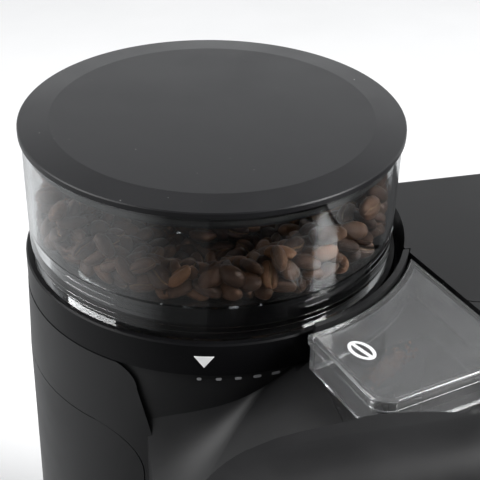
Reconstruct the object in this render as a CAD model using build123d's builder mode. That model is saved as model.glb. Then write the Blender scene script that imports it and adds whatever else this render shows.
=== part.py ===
from build123d import *
import math
import os

# A burr coffee grinder: a round grinding tower with a clear bean hopper on top, and a
# squarer block beside it that catches the grounds in a drawer.
# Lengths are in millimetres. X runs to the right, +Y to the back and +Z up. The origin is
# under the middle of the object's box, on the table. Plan positions below are measured
# from the tower's own axis, which stands at (tower_x, tower_y).

os.makedirs("parts", exist_ok=True)

# ---- driving dimensions: the outside -----------------------------------------------------
height = 290.0  # table to the top of the lid
foot_height = 4.4
base_thickness = 3.6
hopper_radius = 73.8  # the clear wall's outside: every round part is tied to it
lid_overhang = 1.2
ring_overhang = 1.6
core_step = 1.2
rim_step = 0.2
seam_flare = 1.0
base_flare = 0.6
lid_radius = hopper_radius + lid_overhang
ring_radius = hopper_radius + ring_overhang
core_radius = ring_radius - core_step  # the tower where the scooped valley cuts into it
tower_rim_radius = ring_radius + rim_step
tower_seam_radius = tower_rim_radius + seam_flare
tower_base_radius = tower_seam_radius + base_flare
side_room = 67.8  # how far the block reaches past the tower to the right and to the front
front_room = 83.8
block_left = 40.0  # tower axis to the block's left flank
block_right = core_radius + side_room
block_front = core_radius + front_room
block_back = 17.6
block_front_left_corner = 16.0
block_front_right_corner = 20.0
block_back_corner = 9.0
block_edge_radius = 3.0
brow_length = 22.0  # the flat top falls away to the front over this
brow_drop = 15.0
shell_wall = 2.8
tower_wall = 2.6
running_gap = 0.3  # between parts that move past each other
joint_gap = 0.4  # the visible seam between two shells
fit_gap = 0.02  # a pressed or glued fit
bearing_gap = 0.05  # radial clearance of a shaft in its bush

# ---- driving dimensions: levels below the lid's top --------------------------------------
deck_depth = 50.0
pocket_depth = 66.5
ring_top_depth = 55.6
ring_bottom_depth = 69.3
seam_depth = 101.0
deck_level = height - deck_depth
pocket_level = height - pocket_depth
ring_top = height - ring_top_depth
ring_bottom = height - ring_bottom_depth
rim_level = ring_bottom - 0.5
seam_level = height - seam_depth
base_level = foot_height + base_thickness
seam_x = -41.5  # where the seam between the shells turns down
seam_corner = 19.0
seam_back_y = -50.0  # the front shell ends here on the right flank

# ---- lid and hopper -----------------------------------------------------------------------
lid_edge = 2.3
lid_fall = 0.9  # the outer band of the lid slopes down by this
lid_band = 12.0
lid_spigot_depth = 6.5
lid_spigot_wall = 2.0
hopper_draft = 0.4
hopper_wall = 2.2
hopper_floor_depth = 41.0
hopper_throat_drop = 14.5
hopper_throat_length = 9.0
seal_gap = 0.3
seal_groove = 0.8
seal_height = 2.2
hopper_shelf = 6.3
hopper_step_high_depth = 49.4
hopper_step_low_depth = 52.0

# ---- adjusting ring -----------------------------------------------------------------------
ring_lip = 2.5
ring_shelf_drop = 2.2
ring_web = 3.0
ring_skirt = 3.2
pointer_angle = -105.3
pointer_width = 7.4
pointer_height = 5.0
scale_start = -106.7
scale_step = 5.55
scale_count = 5
scale_first_width = 1.7
scale_growth = 0.4  # each mark is longer than the last
print_thickness = 0.2
ramp_travel_per_radian = 3.07
ramp_lift = 0.45
ramp_width = 8.5
ramp_long = 29.0
ramp_after = 7.0
scale_mark_height = 1.2
scale_mark_drop = 2.0
pointer_rise = 8.7

# ---- burrs and grinding chamber -----------------------------------------------------------
burr_radius = 27.0
burr_height = 18.0
burr_gap = 0.7
burr_bite = 7.4  # the ring burr's outside to the cone's
burr_mouth = burr_radius - 4.0
cone_radius = burr_radius - burr_bite
cone_taper = 8.6
cone_top_radius = cone_radius - cone_taper
cone_height = 22.0
cone_groove = 1.5
cone_teeth = 12
ring_teeth = 24
carrier_wall = 8.6
carrier_radius = burr_radius + carrier_wall
carrier_mouth = burr_mouth + 1.2
chamber_radius = carrier_radius + 0.4
chamber_wall = 3.0
hopper_throat_radius = burr_mouth - 2.0
ramp_inner = chamber_radius + chamber_wall + 2.5
ring_bore = ramp_inner - 3.5
chamber_floor = 3.5
chamber_depth = 34.0  # rim of the tower to the chamber's underside
flange_thickness = 3.0
flange_drop = 9.0
carrier_drop = 19.5  # rim of the tower to the carrier's underside
burr_seat = 1.5
carrier_brim = 3.5
lug_drop = 1.5
web_rise = 6.3
lug_width = 8.0
lug_reach = carrier_radius + 11.4
lug_count = 3
lug_start = 90.0
lug_thickness = 4.0
slot_gap = 0.5
chamber_screw_shank = 1.2
chamber_screw_head = 2.3
sweeper_radius = chamber_radius - 3.0
sweeper_gap = 0.5
feeder_height = 12.0
feeder_reach = hopper_throat_radius - 4.0
shaft_radius = 4.0
feeder_hub = shaft_radius + 3.5
nut_radius = shaft_radius + 2.5
nut_height = 4.5
spout_width = 20.0
spout_offset = 24.0
spout_height = 11.0
spout_wall = 2.0
spout_clear = 1.0

# ---- drive --------------------------------------------------------------------------------
bearing_radius = shaft_radius + 4.0
hub_radius = shaft_radius + 5.0
idler_angle = 150.0
motor_angle = 10.0
fine_module = 1.0
coarse_module = 1.25
motor_pinion_teeth = 14
idler_wheel_teeth = 46
idler_pinion_teeth = 14
main_gear_teeth = 50
idler_distance = coarse_module * (main_gear_teeth + idler_pinion_teeth) / 2
motor_distance = fine_module * (idler_wheel_teeth + motor_pinion_teeth) / 2
tooth_thinning = 0.12
bush_radius = shaft_radius + 3.0
gear_width = 9.0
gearbox_room = 3.1  # between the gearbox and the tower's wall
gearbox_radius = core_radius - tower_wall - gearbox_room
gearbox_wall = 2.5
gearbox_height = 34.0
gearbox_plate = 4.0
gearbox_clear_above = 6.0
ear_radius = 4.0
ear_height = 8.0
gearbox_screw_radius = 1.5
standoff_radius = 4.0
standoff_place = chamber_radius - 8.0
idler_pin_radius = 3.0
motor_radius = 29.0
motor_length = 74.0
motor_shaft_radius = 2.5
motor_can_wall = 1.4
motor_isolator_height = 3.0
armature_radius = 20.0

# ---- chute, its clear cover and the valley ------------------------------------------------
# Each section: x, how far its far edge is from the block's front, its depth below the lid,
# and the radii of its near and far bends.
valley_sections = (
    (20.0, 29.0, pocket_depth, 3.0, 12.0),
    (0.0, 27.0, 79.5, 5.0, 20.0),
    (-24.0, 21.0, 102.0, 25.0, 26.0),
    (-40.0, 10.5, 121.0, 40.0, 28.0),
    (-56.0, -2.0, 142.0, 54.0, 30.0),
)
valley_bite = 2.4  # the scoop's near side runs this far inside the tower's face
above_deck = 20.0  # how far the cutting solids reach above the deck
pocket_brow_left = (-20.0, 22.5 - block_front)
pocket_brow_middle = (26.0, 29.0 - block_front)
pocket_brow_right = (60.0, 21.0 - block_front)
pocket_reach = core_radius + 35.8
strip_right = -15.0  # the front shell's strip of tower wall ends here
ridge_x = -43.0
ridge_bend = 11.0
ridge_lean = 46.0
upstand_wall = 2.0
ledge_width = 7.0
ledge_thickness = 3.0
cover_turn = 14.0  # the cover's own axes are turned by this about the tower
cover_left = -3.2
cover_right = 59.5
cover_front = block_front - 30.5
collar_bore = ring_radius + 3.1
collar_radius = collar_bore + 2.3
cover_back_radius = collar_radius + 0.9
cover_back_left = 60.0  # straight ends of the plan, inside the curved back
cover_back_right = 20.0
cover_height = 15.5
cover_wall = 2.0
cover_corner = 8.0
cover_edge = 1.2
cover_lip_height = 4.5
cover_lip_proud = 0.8
mark_at = (32.0, -core_radius - 19.8)
mark_turn = -65.0
mark_length = 12.0
mark_line = 1.3
collar_start = -79.0
deck_seam_x = core_radius + 2.6
deck_seam_y = -deck_seam_x
deck_corner = 9.0
deck_thickness = 1.6
collar_deck_y = -36.0  # behind this the deck panel reaches the ring's well itself
chute_wall = 2.0
chute_left = 4.0
chute_right = 50.0
chute_back = collar_radius + 3.2
chute_front = cover_front - 5.5
chute_taper = 31.5  # its height between the full width and the drawer
chute_foot = (24.0, 20.5 - cover_front)
chute_foot_width = 28.0
chute_foot_depth = 22.0
chute_foot_room = 4.0

# ---- drawer -------------------------------------------------------------------------------
bin_left = 10.0
bin_side_room = 2.0  # between the drawer's way and the knob
bin_back = tower_base_radius + 2.8
bin_wall = 2.0
bin_corner = 5.0
bin_front_thickness = 8.0
bin_headroom = 6.0
bay_gap = 1.0
bay_wall = 1.6
bay_lift = 4.0
grip_width = 60.0
grip_height = 22.0
grip_depth = 5.5
grip_drop = 14.0

# ---- controls -----------------------------------------------------------------------------
control_x = block_right - 33.0
knob_height = deck_level - 72.0
button_height = deck_level - 122.0
knob_radius = 13.0
knob_proud = 13.0
knob_hub_radius = 4.5
pot_shaft_radius = 3.0
button_radius = 8.0
button_proud = 2.5
button_travel = 1.5
board_gap = 9.0
board_thickness = 1.6

# ---- base and fasteners -------------------------------------------------------------------
base_inset = 1.2
vent_count = 7
vent_step = 6.0
vent_length = 36.0
post_radius = 4.5
post_height = 20.0
base_screw_radius = 1.5
post_inset = 6.0  # from a post's middle to the block's flank
rear_post_radius = tower_seam_radius - 5.6
rear_post_angles = (165.0, 100.0)
front_posts = ((post_inset - block_left, 22.0 - block_front), (block_right - post_inset, 26.0 - block_front))
rear_block_post = (block_right - post_inset - 0.5, block_back - 13.6)
foot_radius = 9.0
foot_inset = 20.0
foot_front = 22.0 - block_front
foot_places = (
    (-46.0, 42.0),
    (foot_inset - block_left, foot_front + 12),
    (block_right - foot_inset, foot_front),
    (block_right - foot_inset, block_back - foot_inset - 1.6),
)
foot_stem_radius = 3.0
gland_x = block_right - 42.0
gland_height = 34.0
gland_radius = 6.5
gland_flange_radius = 9.5
gland_bore = 3.6
gland_proud = 12.0

# ---- where the tower stands ---------------------------------------------------------------
front_reach = block_front + knob_proud
tower_x = (tower_base_radius - block_right) / 2
tower_y = (front_reach - tower_base_radius) / 2


# ---- places -------------------------------------------------------------------------------
def level(h):
    """A horizontal plane at height h, centred on the tower."""
    return Plane((tower_x, tower_y, h))


def cover_level(h):
    """The same plane, turned to the clear cover's own axes; its front is local -Y."""
    turn = math.radians(cover_turn)
    return Plane((tower_x, tower_y, h), x_dir=(math.cos(turn), math.sin(turn), 0), z_dir=(0, 0, 1))


def side_plane(x):
    """A plane across the object at x from the tower; local axes are Y and Z."""
    return Plane((tower_x + x, tower_y, 0), x_dir=(0, 1, 0), z_dir=(1, 0, 0))


def front_plane(y):
    """A plane facing the front at y from the tower; local axes are X and Z."""
    return Plane((tower_x, tower_y + y, 0), x_dir=(1, 0, 0), z_dir=(0, -1, 0))


def polar(radius, angle):
    """A plan point at a radius and an angle in degrees about the tower."""
    return (radius * math.cos(math.radians(angle)), radius * math.sin(math.radians(angle)))


def outward_plane(angle, radius, h=0.0):
    """An upright plane facing away from the tower's axis; local Y is up."""
    out = polar(1, angle)
    origin = (tower_x + radius * out[0], tower_y + radius * out[1], h)
    return Plane(origin, x_dir=(-out[1], out[0], 0), z_dir=(out[0], out[1], 0))


# ---- shapes that repeat -------------------------------------------------------------------
def disc(radius, low, high, at=(0, 0), mode=Mode.ADD):
    """An upright cylinder between two heights."""
    with BuildSketch(level(low)) as outline:
        with Locations(at):
            Circle(radius)
    extrude(outline.sketch, amount=high - low, mode=mode)


def ring(outer, inner, low, high, at=(0, 0), mode=Mode.ADD):
    """An upright tube between two heights."""
    with BuildSketch(level(low)) as outline:
        with Locations(at):
            Circle(outer)
            Circle(inner, mode=Mode.SUBTRACT)
    extrude(outline.sketch, amount=high - low, mode=mode)


def slab(xs, ys, zs, corner=0.0, plane=level, mode=Mode.ADD):
    """A box between pairs of coordinates, with rounded upright corners if corner is set."""
    width = xs[1] - xs[0]
    depth = ys[1] - ys[0]
    with BuildSketch(plane(zs[0])) as outline:
        with Locations(((xs[0] + xs[1]) / 2, (ys[0] + ys[1]) / 2)):
            if corner:
                RectangleRounded(width, depth, corner)
            else:
                Rectangle(width, depth)
    extrude(outline.sketch, amount=zs[1] - zs[0], mode=mode)


def front_disc(radius, x, z, y, depth, mode=Mode.ADD):
    """A cylinder lying front to back: it starts at y and runs towards the front."""
    with BuildSketch(front_plane(y)) as outline:
        with Locations((x, z)):
            Circle(radius)
    extrude(outline.sketch, amount=depth, mode=mode)


def turned(profile, at=(0, 0), mode=Mode.ADD):
    """An outline of (radius, height) points turned about an upright axis."""
    centre = (tower_x + at[0], tower_y + at[1], 0)
    with BuildSketch(Plane(centre, x_dir=(1, 0, 0), z_dir=(0, -1, 0))) as outline:
        with BuildLine():
            Polyline(*profile, close=True)
        make_face()
    revolve(outline.sketch, axis=Axis(centre, (0, 0, 1)), mode=mode)


def screw(at, seat, length, head_radius, shank_radius, upward=True):
    """A pan-head screw: its head's inner face is at seat and its shank runs up or down."""
    way = 1 if upward else -1
    head_end = seat - way * 2.0
    shank_end = seat + way * length
    socket_end = head_end + way * 1.0
    disc(head_radius, min(seat, head_end), max(seat, head_end), at)
    disc(shank_radius, min(seat, shank_end), max(seat, shank_end), at)
    disc(head_radius * 0.4, min(head_end, socket_end), max(head_end, socket_end), at, mode=Mode.SUBTRACT)


def write(builder, label):
    """Label a finished piece and write it to its own file."""
    builder.part.label = label
    export_step(builder.part, "parts/" + label + ".step")


# ---- the outer form -----------------------------------------------------------------------
def block(inset, low):
    """The squarer block, drawn in by inset on its sides and top."""
    left, right = -block_left + inset, block_right - inset
    front, back = -block_front + inset, block_back - inset
    top = deck_level - inset
    with BuildPart() as body:
        with BuildSketch(side_plane(left)):
            with BuildLine():
                Line((back, low), (back, top))
                Line((back, top), (brow_length - block_front, top))
                brow = TangentArc((brow_length - block_front, top), (front, top - brow_drop), tangent=(-1, 0))
                Line(brow @ 1, (front, low))
                Line((front, low), (back, low))
            make_face()
        extrude(amount=right - left)
        at_front = body.edges().filter_by(Axis.Z).group_by(Axis.Y)[0].sort_by(Axis.X)
        fillet(at_front[0], block_front_left_corner - inset)
        at_front = body.edges().filter_by(Axis.Z).group_by(Axis.Y)[0].sort_by(Axis.X)
        fillet(at_front[-1], block_front_right_corner - inset)
        at_back = body.edges().filter_by(Axis.Z).group_by(Axis.Y)[-1].sort_by(Axis.X)
        fillet(at_back[-1], block_back_corner - inset)
        if inset < block_edge_radius:
            top_face = body.faces().filter_by(Axis.Z).sort_by(Axis.Z)[-1]
            rim = top_face.edges().filter_by(Axis.Y).sort_by(Axis.X)[-1]
            fillet(rim, block_edge_radius - inset)
    return body.part


def valley(margin):
    """The scoop between the tower and the front hood: it deepens towards the left."""
    with BuildPart() as scoop:
        for x, hood, depth, near_bend, far_bend in valley_sections:
            near = math.sqrt(core_radius ** 2 - x ** 2) - valley_bite
            far = block_front - hood
            floor = height - depth - margin
            ceiling = deck_level + above_deck
            with BuildSketch(side_plane(x)) as section:
                with Locations((-(near + far) / 2, (floor + ceiling) / 2)):
                    Rectangle(far - near + 2 * margin, ceiling - floor)
                fillet(section.vertices().group_by(Axis.Y)[0].sort_by(Axis.X)[0], far_bend + margin)
                fillet(section.vertices().group_by(Axis.Y)[0].sort_by(Axis.X)[-1], near_bend + margin)
        loft()
    return scoop.part


def pocket(margin):
    """The flat-bottomed pocket that the clear cover stands in, open to the valley."""
    brow_end = (pocket_brow_right[0] + 36, pocket_brow_right[1] - margin)
    with BuildPart() as recess:
        with BuildSketch(level(pocket_level - margin)):
            with BuildLine():
                Polyline(
                    (pocket_brow_left[0], -60),
                    (20, -60 + margin),
                    (60, -20 + margin),
                    (pocket_reach - 20, -20),
                    (pocket_reach, 40 - block_front),
                    brow_end,
                    (pocket_brow_right[0], pocket_brow_right[1] - margin),
                )
                ThreePointArc(
                    (pocket_brow_right[0], pocket_brow_right[1] - margin),
                    (pocket_brow_middle[0], pocket_brow_middle[1] - margin),
                    (pocket_brow_left[0], pocket_brow_left[1] - margin),
                )
                Line((pocket_brow_left[0], pocket_brow_left[1] - margin), (pocket_brow_left[0], -60))
            make_face()
        extrude(amount=deck_level + above_deck - pocket_level + margin)
        right = cover_right + joint_gap + margin
        slab((right, right + 60), (-160, 60), (pocket_level - margin - 1, deck_level + above_deck + 1),
             plane=cover_level, mode=Mode.SUBTRACT)
    return recess.part


def trimmed(whole, *cuts):
    """One solid with others cut away from it."""
    with BuildPart() as remainder:
        add(whole)
        for cut in cuts:
            add(cut, mode=Mode.SUBTRACT)
    return remainder.part


def tower_form():
    """The tower's round form, wide at the foot and narrower above."""
    with BuildPart() as form:
        turned([
            (0, base_level),
            (tower_base_radius, base_level),
            (tower_seam_radius, seam_level),
            (tower_rim_radius, rim_level),
            (0, rim_level),
        ])
    return form.part


def collar_form():
    """The arc of wall between the ring's bore and the cover's curved back."""
    with BuildPart() as form:
        disc(collar_radius, pocket_level - shell_wall - 2, deck_level + above_deck)
        with BuildSketch(level(pocket_level - shell_wall - 3)):
            Polygon((0, 0), polar(200, collar_start), (-200, -200), (-200, 200), (0, 200), align=None)
        extrude(amount=80, mode=Mode.SUBTRACT)
    return form.part


def front_region(gap):
    """Space of the front shell below the seam, drawn in by a gap on its two seams."""
    low, high = base_level - 2, seam_level + 2
    side = seam_x + gap
    with BuildPart() as region:
        with BuildSketch(front_plane(seam_back_y - gap)):
            with BuildLine():
                Line((side, low), (side, seam_level - seam_corner))
                RadiusArc((side, seam_level - seam_corner), (side - seam_corner, seam_level), -seam_corner)
                Line((side - seam_corner, seam_level), (side - seam_corner, high))
                Line((side - seam_corner, high), (block_right + 20, high))
                Line((block_right + 20, high), (block_right + 20, low))
                Line((block_right + 20, low), (side, low))
            make_face()
        extrude(amount=block_front)
    return region.part


def ridge_recess():
    """What is scooped off the tower's face right of its ridge, down to the core's radius."""
    high = rim_level + 1
    with BuildPart() as recess:
        with BuildSketch(front_plane(0)):
            with BuildLine():
                Line((90, high), (ridge_x - ridge_bend, high))
                RadiusArc((ridge_x - ridge_bend, high), (ridge_x, high - ridge_bend), ridge_bend)
                Line((ridge_x, high - ridge_bend), (ridge_x + ridge_lean, base_level))
                Line((ridge_x + ridge_lean, base_level), (90, base_level))
                Line((90, base_level), (90, high))
            make_face()
        extrude(amount=block_front)
        disc(core_radius, 0, height, mode=Mode.SUBTRACT)
    return recess.part


def collar_room(gap):
    """The room that the deck leaves for the collar, in front of a line across the tower."""
    with BuildPart() as room:
        disc(collar_radius + joint_gap / 2 + gap, 0, height)
        slab((-200, 200), (collar_deck_y + gap, 200), (0, height), mode=Mode.SUBTRACT)
    return room.part


def deck_space(gap):
    """Space of the deck panel: behind its seam and outside the collar, drawn in by a gap."""
    seam_left = deck_seam_x + gap
    seam_front = deck_seam_y + gap
    with BuildPart() as space:
        with BuildSketch(level(deck_level - deck_thickness)) as outline:
            with Locations(((seam_left + 200) / 2, (seam_front + 100) / 2)):
                Rectangle(200 - seam_left, 100 - seam_front)
            corner = outline.vertices().group_by(Axis.Y)[0].sort_by(Axis.X)[0]
            fillet(corner, deck_corner)
            with Locations(((30 + seam_left + 1) / 2, 20 + gap)):
                Rectangle(seam_left + 1 - 30, 160)
        extrude(amount=30)
        disc(collar_bore, 0, height, mode=Mode.SUBTRACT)
    return trimmed(space.part, collar_room(gap))


def wide_slab(low, high):
    """A slab of space wider than the whole object, between two heights."""
    with BuildPart() as space:
        slab((-200, 200), (-200, 200), (low, high))
    return space.part


def sleeve(outer, inner, low, high):
    """An upright tube as a solid of its own, for trimming other pieces."""
    with BuildPart() as tube:
        ring(outer, inner, low, high)
    return tube.part


# ---- heights inside the tower -------------------------------------------------------------
chamber_low = rim_level - chamber_depth
chamber_inside = chamber_low + chamber_floor
flange_low = rim_level - flange_drop
flange_top = flange_low + flange_thickness
carrier_low = rim_level - carrier_drop
burr_low = carrier_low + burr_seat
burr_top = burr_low + burr_height
carrier_top = burr_top + carrier_brim
lug_top = carrier_top - lug_drop
web_low = rim_level + web_rise
web_top = web_low + ring_web
gearbox_top = chamber_low - gearbox_clear_above
gearbox_low = gearbox_top - gearbox_height
plate_top = gearbox_low + gearbox_plate
fine_low = plate_top + 2.0
fine_top = fine_low + gear_width - 1.0
coarse_low = fine_top + 3.0
coarse_top = coarse_low + gear_width
idler_at = polar(idler_distance, idler_angle)
motor_offset = polar(motor_distance, motor_angle)
motor_at = (idler_at[0] + motor_offset[0], idler_at[1] + motor_offset[1])
motor_top = gearbox_low - motor_isolator_height
motor_low = motor_top - motor_length
spout_low = chamber_inside - spout_wall
spout_top = chamber_inside + spout_height

# ---- places that several pieces share -----------------------------------------------------
upstand_outer = ring_radius - ring_skirt - running_gap
upstand_inner = upstand_outer - upstand_wall
tower_inner = core_radius - tower_wall
ledge_low = flange_low - ledge_thickness
chamber_screw_place = upstand_inner - chamber_screw_head - 2 * running_gap
chamber_screw_places = [
    polar(chamber_screw_place, lug_start + 60 + index * 360 / lug_count) for index in range(lug_count)
]
bay_low = base_level + bay_lift
opening_left = bin_left - bay_gap
opening_right = control_x - knob_radius - bin_side_room + bay_gap
bin_width = opening_right - bay_gap - bin_left
opening_low = bay_low + bay_wall
bin_low = opening_low + bearing_gap
chute_bend = spout_low - 12.0
chute_low = chute_bend - chute_taper
opening_top = chute_low + 1.5
bin_top = opening_top - bin_headroom
bay_top = opening_top + bay_wall
bay_back = -bin_back + bay_gap + bay_wall
board_y = -block_front + shell_wall + board_gap
rear_posts = [polar(rear_post_radius, angle) for angle in rear_post_angles] + [rear_block_post]
base_posts = list(front_posts) + rear_posts

# ---- solids that shape both shells --------------------------------------------------------
block_outer = block(0, base_level)
valley_outer = valley(0)
pocket_outer = pocket(0)
pocket_cut = trimmed(pocket_outer, collar_form())
block_cavity = trimmed(block(shell_wall, base_level - 1), valley(shell_wall), pocket(shell_wall))


def strip_cut():
    """Everything of the tower below the seam that isn't its front left strip."""
    with BuildPart() as space:
        slab((strip_right, 200), (-200, 200), (0, seam_level))
    return space.part


tower = tower_form()
tower_top = trimmed(tower, strip_cut(), ridge_recess())


def well_form():
    """The floor and outer wall of the well that the adjusting ring turns in."""
    with BuildPart() as form:
        ring(collar_radius, tower_inner, rim_level - shell_wall, rim_level)
        ring(collar_radius, collar_bore, rim_level - shell_wall, deck_level)
        add(block_outer, mode=Mode.INTERSECT)
    return form.part


well = trimmed(well_form(), valley_outer, pocket_cut)
rear_region = trimmed(wide_slab(0, seam_level), front_region(joint_gap / 2))
deck_bed = deck_space(-joint_gap / 2)
deck_room = deck_space(joint_gap / 2)

# ---- front shell --------------------------------------------------------------------------
with BuildPart() as front_shell:
    add(block_outer)
    add(valley_outer, mode=Mode.SUBTRACT)
    add(pocket_cut, mode=Mode.SUBTRACT)
    add(block_cavity, mode=Mode.SUBTRACT)
    add(tower_top)
    add(well)
    # Hollow of the tower, with a ledge that carries the grinding chamber.
    disc(tower_inner, base_level - 1, ledge_low, mode=Mode.SUBTRACT)
    disc(tower_inner - ledge_width, ledge_low - 1, flange_low, mode=Mode.SUBTRACT)
    disc(tower_inner, flange_low, rim_level + 1, mode=Mode.SUBTRACT)
    disc(collar_bore, rim_level, height, mode=Mode.SUBTRACT)
    for at in chamber_screw_places:
        disc(chamber_screw_shank + fit_gap, ledge_low - 1, flange_low + 1, at, mode=Mode.SUBTRACT)
    # The upstand that the adjusting ring turns on.
    ring(upstand_outer, upstand_inner, flange_top, web_low - bearing_gap)
    ring(tower_inner + 1, upstand_inner, rim_level - shell_wall, rim_level)
    add(deck_bed, mode=Mode.SUBTRACT)
    add(rear_region, mode=Mode.SUBTRACT)
    # Way for the spout, the chute's mouth, the drawer, the knob and the button.
    slab(
        (spout_offset - spout_width / 2 - spout_wall - spout_clear,
         spout_offset + spout_width / 2 + spout_wall + spout_clear),
        (-chute_back, -tower_inner + 16),
        (seam_level - 1, spout_top + spout_wall + spout_clear),
        plane=cover_level,
        mode=Mode.SUBTRACT,
    )
    slab(
        (chute_left + chute_wall, chute_right - chute_wall),
        (-chute_front + chute_wall, -chute_back - chute_wall),
        (pocket_level - shell_wall - 1, pocket_level + 1),
        corner=3.0,
        plane=cover_level,
        mode=Mode.SUBTRACT,
    )
    slab((opening_left, opening_right), (-block_front - 1, -block_front + 2 * shell_wall),
         (opening_low, opening_top), mode=Mode.SUBTRACT)
    front_disc(knob_hub_radius + running_gap, control_x, knob_height, -block_front + 2 * shell_wall,
               3 * shell_wall, mode=Mode.SUBTRACT)
    front_disc(button_radius + joint_gap, control_x, button_height, -block_front + 2 * shell_wall,
               3 * shell_wall, mode=Mode.SUBTRACT)
    for at in front_posts:
        disc(post_radius, base_level, base_level + post_height, at)
        disc(base_screw_radius + fit_gap, base_level - 1, base_level + post_height - 2, at,
             mode=Mode.SUBTRACT)
write(front_shell, "front_shell")

# ---- rear shell ---------------------------------------------------------------------------
rear_top = seam_level - joint_gap
front_region_cut = front_region(-joint_gap / 2)
block_hollow = block(shell_wall, base_level - 1)
with BuildPart() as rear_shell:
    add(block_outer)
    add(block_hollow, mode=Mode.SUBTRACT)
    add(tower)
    disc(tower_seam_radius - tower_wall, base_level - 1, seam_level + 1, mode=Mode.SUBTRACT)
    slab((-200, 200), (-200, 200), (rear_top, height), mode=Mode.SUBTRACT)
    add(front_region_cut, mode=Mode.SUBTRACT)
    front_disc(gland_radius + fit_gap, gland_x, gland_height, block_back + 1, shell_wall + 2,
               mode=Mode.SUBTRACT)
    for at in rear_posts:
        disc(post_radius, base_level, base_level + post_height, at)
        disc(base_screw_radius + fit_gap, base_level - 1, base_level + post_height - 2, at,
             mode=Mode.SUBTRACT)
write(rear_shell, "rear_shell")

# ---- deck panel ---------------------------------------------------------------------------
with BuildPart() as deck_panel:
    add(block_outer)
    add(deck_room, mode=Mode.INTERSECT)
    add(pocket_outer, mode=Mode.SUBTRACT)
write(deck_panel, "deck_panel")

# ---- lid and its seal ---------------------------------------------------------------------
lid_low = height - lid_edge - lid_fall
spigot_radius = hopper_radius - hopper_wall - 2.2
groove_radius = spigot_radius - seal_groove
groove_top = lid_low - 2.4
groove_low = groove_top - seal_height
with BuildPart() as lid:
    turned([
        (0, lid_low),
        (lid_radius, lid_low),
        (lid_radius, height - lid_fall - 0.4),
        (lid_radius - 0.4, height - lid_fall),
        (lid_radius - lid_band, height),
        (0, height),
    ])
    ring(spigot_radius, spigot_radius - lid_spigot_wall, lid_low - lid_spigot_depth, lid_low)
    ring(groove_radius, spigot_radius - lid_spigot_wall - 1, groove_low - 1, groove_top + 1)
    ring(spigot_radius + 1, groove_radius, groove_low, groove_top, mode=Mode.SUBTRACT)
write(lid, "lid")

with BuildPart() as lid_seal:
    ring(hopper_radius - hopper_wall - seal_gap, groove_radius + fit_gap, groove_low + 0.2, groove_top - 0.2)
write(lid_seal, "lid_seal")

# ---- hopper -------------------------------------------------------------------------------
hopper_top = lid_low - bearing_gap
shelf_level = ring_top - ring_shelf_drop
hopper_low = shelf_level + bearing_gap
hopper_base_radius = hopper_radius - hopper_draft
hopper_floor = height - hopper_floor_depth
throat_top = hopper_floor - hopper_throat_drop
throat_low = throat_top - hopper_throat_length
throat_outer = hopper_throat_radius + hopper_wall
flange_radius = ring_radius - ring_lip - 2 * running_gap
step_high = height - hopper_step_high_depth
step_low = height - hopper_step_low_depth
with BuildPart() as hopper:
    turned([
        (hopper_radius, hopper_top),
        (hopper_base_radius, step_high),
        (hopper_base_radius - 0.5, step_high),
        (hopper_base_radius - 0.5, step_low),
        (flange_radius, step_low),
        (flange_radius, hopper_low),
        (flange_radius - hopper_shelf, hopper_low),
        (flange_radius - hopper_shelf, hopper_floor - hopper_wall - 1),
        (throat_outer, throat_top - hopper_wall),
        (throat_outer, throat_low),
        (hopper_throat_radius, throat_low),
        (hopper_throat_radius, throat_top),
        (hopper_base_radius - hopper_wall, hopper_floor),
        (hopper_radius - hopper_wall, hopper_top),
    ])
write(hopper, "hopper")

# ---- adjusting ring and its printed pointer -----------------------------------------------
shelf_inner = flange_radius - hopper_shelf - 1
lug_middle = (carrier_radius + lug_reach) / 2 + 2
ramp_slope = ramp_travel_per_radian / lug_middle
ramp_low_end = lug_top + ramp_lift - ramp_slope * ramp_after
ramp_high_end = ramp_low_end + ramp_slope * ramp_long
ramp_root = web_low + ring_web / 2
with BuildPart() as adjust_ring:
    turned([
        (ring_radius, ring_bottom),
        (ring_radius, ring_top - 0.6),
        (ring_radius - 0.6, ring_top),
        (ring_radius - ring_lip, ring_top),
        (ring_radius - ring_lip, shelf_level),
        (shelf_inner, shelf_level),
        (shelf_inner, web_top),
        (ring_bore, web_top),
        (ring_bore, web_low),
        (ring_radius - ring_skirt, web_low),
        (ring_radius - ring_skirt, ring_bottom),
    ])
    # Three sloping ramps under the web: turning the ring lets the burr carrier rise.
    for index in range(lug_count):
        with BuildSketch(outward_plane(lug_start + index * 360 / lug_count, ramp_inner)):
            Polygon(
                (ramp_after, ramp_low_end),
                (ramp_after, ramp_root),
                (ramp_after - ramp_long, ramp_root),
                (ramp_after - ramp_long, ramp_high_end),
                align=None,
            )
        extrude(amount=ramp_width)
write(adjust_ring, "adjust_ring")

ring_print = sleeve(ring_radius + print_thickness, ring_radius, ring_bottom, ring_top)
pointer_top = ring_bottom + pointer_rise
with BuildPart() as pointer_mark:
    with BuildSketch(outward_plane(pointer_angle, 0)):
        Polygon(
            (-pointer_width / 2, pointer_top),
            (0, pointer_top - pointer_height),
            (pointer_width / 2, pointer_top),
            align=None,
        )
    extrude(amount=ring_radius + 5)
    add(ring_print, mode=Mode.INTERSECT)
write(pointer_mark, "pointer_mark")

with BuildPart() as scale_marks:
    for index in range(scale_count):
        with BuildSketch(outward_plane(scale_start + index * scale_step, core_radius - print_thickness)):
            with Locations((0, rim_level - scale_mark_drop)):
                RectangleRounded(scale_first_width + index * scale_growth, scale_mark_height,
                                 scale_mark_height / 2 - 0.05)
        extrude(amount=2 * print_thickness)
    disc(core_radius, seam_level, rim_level, mode=Mode.SUBTRACT)
write(scale_marks, "scale_marks")

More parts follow.
